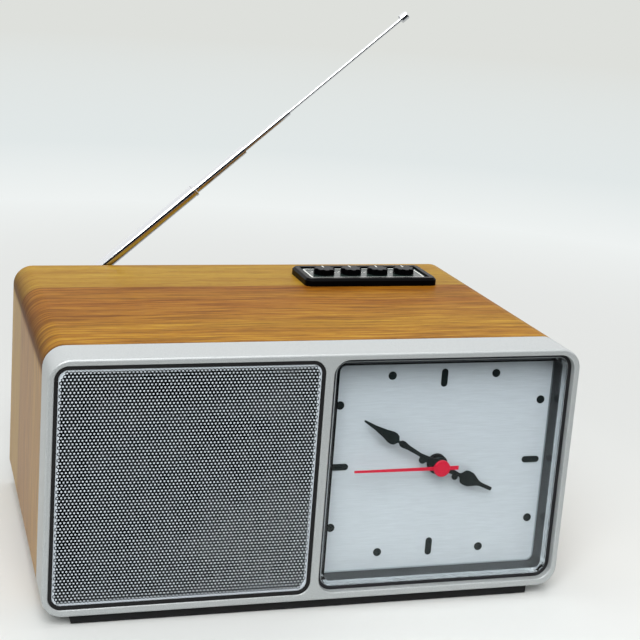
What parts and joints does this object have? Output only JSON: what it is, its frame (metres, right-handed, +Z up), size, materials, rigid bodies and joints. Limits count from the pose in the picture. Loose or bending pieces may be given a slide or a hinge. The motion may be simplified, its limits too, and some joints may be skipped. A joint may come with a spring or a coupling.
{
  "type": "talking clock",
  "caption": "Wooden box table clock with a speaker grille beside a covered analogue dial, knobs on top and a telescopic aerial behind.",
  "frame": {"origin": "under the middle of the whole object, aerial included, on the surface that it stands on", "axes": "+X to the right as seen from the dial side, +Y to the back, +Z up"},
  "size_m": [0.2, 0.1372, 0.2154],
  "materials": {
    "veneered_wood": "satin lacquer on oak-like veneer",
    "silver_plastic": "silver paint on moulded plastic",
    "fibreboard": "bare board",
    "black_rubber": "matt",
    "grille_steel": "grey powder coat",
    "speaker_steel": "zinc plated",
    "speaker_paper": "black pulp",
    "ferrite": "bare ferrite",
    "copper_coil": "enamelled wire",
    "spider_cloth": "resin stiffened cloth",
    "black_plastic": "fine moulded texture",
    "gloss_black": "moulded gloss",
    "dial_silver": "satin silver",
    "clear_acrylic": "clear polished",
    "hand_paint": "satin black",
    "red_paint": "satin red",
    "white_plastic": "moulded gear plastic",
    "brass_metal": "turned",
    "cell_jacket": "plain wrapped cell",
    "panel_plate": "dark plate with a white border line",
    "board_green": "circuit board with its parts",
    "chrome_plate": "polished chrome"
  },
  "bodies": {
    "cabinet": {"cabinet_shell": "veneered_wood", "front_bezel": "silver_plastic", "front_baffle": "fibreboard", "speaker_gasket": "black_rubber", "speaker_grille": "grille_steel", "speaker_basket": "speaker_steel", "speaker_surround": "black_rubber", "speaker_spider": "spider_cloth", "magnet_top_plate": "speaker_steel", "speaker_magnet": "ferrite", "magnet_yoke": "speaker_steel", "speaker_screws": "speaker_steel", "dial_frame": "black_plastic", "dial_plate": "dial_silver", "dial_cover": "clear_acrylic", "dial_markers": "gloss_black", "dial_nut": "gloss_black", "movement_case": "black_plastic", "movement_cover": "black_plastic", "clock_cell": "cell_jacket", "movement_motor": "copper_coil", "control_frame": "gloss_black", "control_plate": "panel_plate", "control_board": "board_green", "back_panel": "black_plastic", "back_screws": "speaker_steel", "battery_box": "black_plastic", "battery_cells": "cell_jacket", "main_board": "board_green", "board_pillars": "black_plastic", "dc_socket": "gloss_black", "aux_socket": "gloss_black", "power_switch": "black_plastic", "rubber_feet": "black_rubber", "foot_screws": "speaker_steel", "aerial_bracket": "black_plastic"},
    "minute_hand_set": {"minute_hand": "hand_paint", "cannon_pinion": "brass_metal"},
    "hour_hand_set": {"hour_hand": "hand_paint", "hour_wheel": "white_plastic"},
    "second_hand_set": {"second_hand": "red_paint", "second_arbor": "brass_metal"},
    "minute_wheel_set": {"minute_wheel": "white_plastic"},
    "time_set_shaft": {"set_spindle": "white_plastic", "time_set_knob": "black_plastic"},
    "volume_control": {"volume_knob": "gloss_black"},
    "tone_control": {"tone_knob": "gloss_black"},
    "tuning_control": {"tuning_knob": "gloss_black"},
    "band_control": {"band_knob": "gloss_black"},
    "cone_assembly": {"speaker_cone": "speaker_paper", "dust_cap": "speaker_paper", "voice_coil": "copper_coil"},
    "power_slider": {"switch_slider": "gloss_black"},
    "door": {"battery_door": "black_plastic"},
    "aerial_base": {"aerial_swivel": "chrome_plate"},
    "aerial_mast": {"aerial_tube": "chrome_plate"},
    "aerial_second": {"aerial_section_two": "chrome_plate"},
    "aerial_third": {"aerial_section_three": "chrome_plate"},
    "aerial_last": {"aerial_rod": "chrome_plate"}
  },
  "joints": [
    {"name": "minute_hand_turn", "type": "hinge", "parent": "cabinet", "child": "minute_hand_set", "pos_m": [0.05025, -0.06057, 0.05225], "axis": [0, 1, 0], "continuous": true},
    {"name": "hour_hand_turn", "type": "hinge", "parent": "cabinet", "child": "hour_hand_set", "pos_m": [0.05025, -0.06057, 0.05225], "axis": [0, 1, 0], "continuous": true},
    {"name": "second_hand_turn", "type": "hinge", "parent": "cabinet", "child": "second_hand_set", "pos_m": [0.05025, -0.06057, 0.05225], "axis": [0, 1, 0], "continuous": true},
    {"name": "minute_wheel_turn", "type": "hinge", "parent": "cabinet", "child": "minute_wheel_set", "pos_m": [0.05025, -0.05058, 0.06425], "axis": [0, 1, 0], "continuous": true},
    {"name": "time_set_turn", "type": "hinge", "parent": "cabinet", "child": "time_set_shaft", "pos_m": [0.06225, -0.05058, 0.06425], "axis": [0, 1, 0], "continuous": true},
    {"name": "volume_turn", "type": "hinge", "parent": "cabinet", "child": "volume_control", "pos_m": [0.0318, 0.03503, 0.104], "axis": [0, 0, 1], "range_deg": [-135, 135]},
    {"name": "tone_turn", "type": "hinge", "parent": "cabinet", "child": "tone_control", "pos_m": [0.0441, 0.03503, 0.104], "axis": [0, 0, 1], "range_deg": [-135, 135]},
    {"name": "tuning_turn", "type": "hinge", "parent": "cabinet", "child": "tuning_control", "pos_m": [0.0564, 0.03503, 0.104], "axis": [0, 0, 1], "range_deg": [-150, 150]},
    {"name": "band_turn", "type": "hinge", "parent": "cabinet", "child": "band_control", "pos_m": [0.0687, 0.03503, 0.104], "axis": [0, 0, 1], "range_deg": [-60, 60]},
    {"name": "cone_travel", "type": "slide", "parent": "cabinet", "child": "cone_assembly", "axis": [0, 1, 0], "range_m": [-0.001, 0.001], "stiffness_N_per_m": 1200},
    {"name": "power_switch_slide", "type": "slide", "parent": "cabinet", "child": "power_slider", "axis": [1, 0, 0], "range_m": [0, 0.003]},
    {"name": "battery_door_open", "type": "hinge", "parent": "cabinet", "child": "door", "pos_m": [-0.03, 0.05842, 0.0276], "axis": [-1, 0, 0], "range_deg": [0, 90]},
    {"name": "aerial_swivel_turn", "type": "hinge", "parent": "cabinet", "child": "aerial_base", "pos_m": [-0.081, 0.06538, 0.081], "axis": [0, 1, 0], "range_deg": [-139, 41]},
    {"name": "aerial_elbow_turn", "type": "hinge", "parent": "aerial_base", "child": "aerial_mast", "pos_m": [-0.081, 0.06538, 0.081], "axis": [-0.6561, 0, 0.7547], "range_deg": [0, 90]},
    {"name": "aerial_second_slide", "type": "slide", "parent": "aerial_mast", "child": "aerial_second", "axis": [0.7547, 0, 0.6561], "range_m": [-0.028, 0.034]},
    {"name": "aerial_third_slide", "type": "slide", "parent": "aerial_second", "child": "aerial_third", "axis": [0.7547, 0, 0.6561], "range_m": [-0.026, 0.035]},
    {"name": "aerial_last_slide", "type": "slide", "parent": "aerial_third", "child": "aerial_last", "axis": [0.7547, 0, 0.6561], "range_m": [-0.065, 0]}
  ],
  "couplings": [
    {"joint": "hour_hand_turn", "follows": "minute_hand_turn", "ratio": 0.083333},
    {"joint": "second_hand_turn", "follows": "minute_hand_turn", "ratio": 60},
    {"joint": "minute_wheel_turn", "follows": "minute_hand_turn", "ratio": -0.33333},
    {"joint": "time_set_turn", "follows": "minute_hand_turn", "ratio": 1}
  ]
}
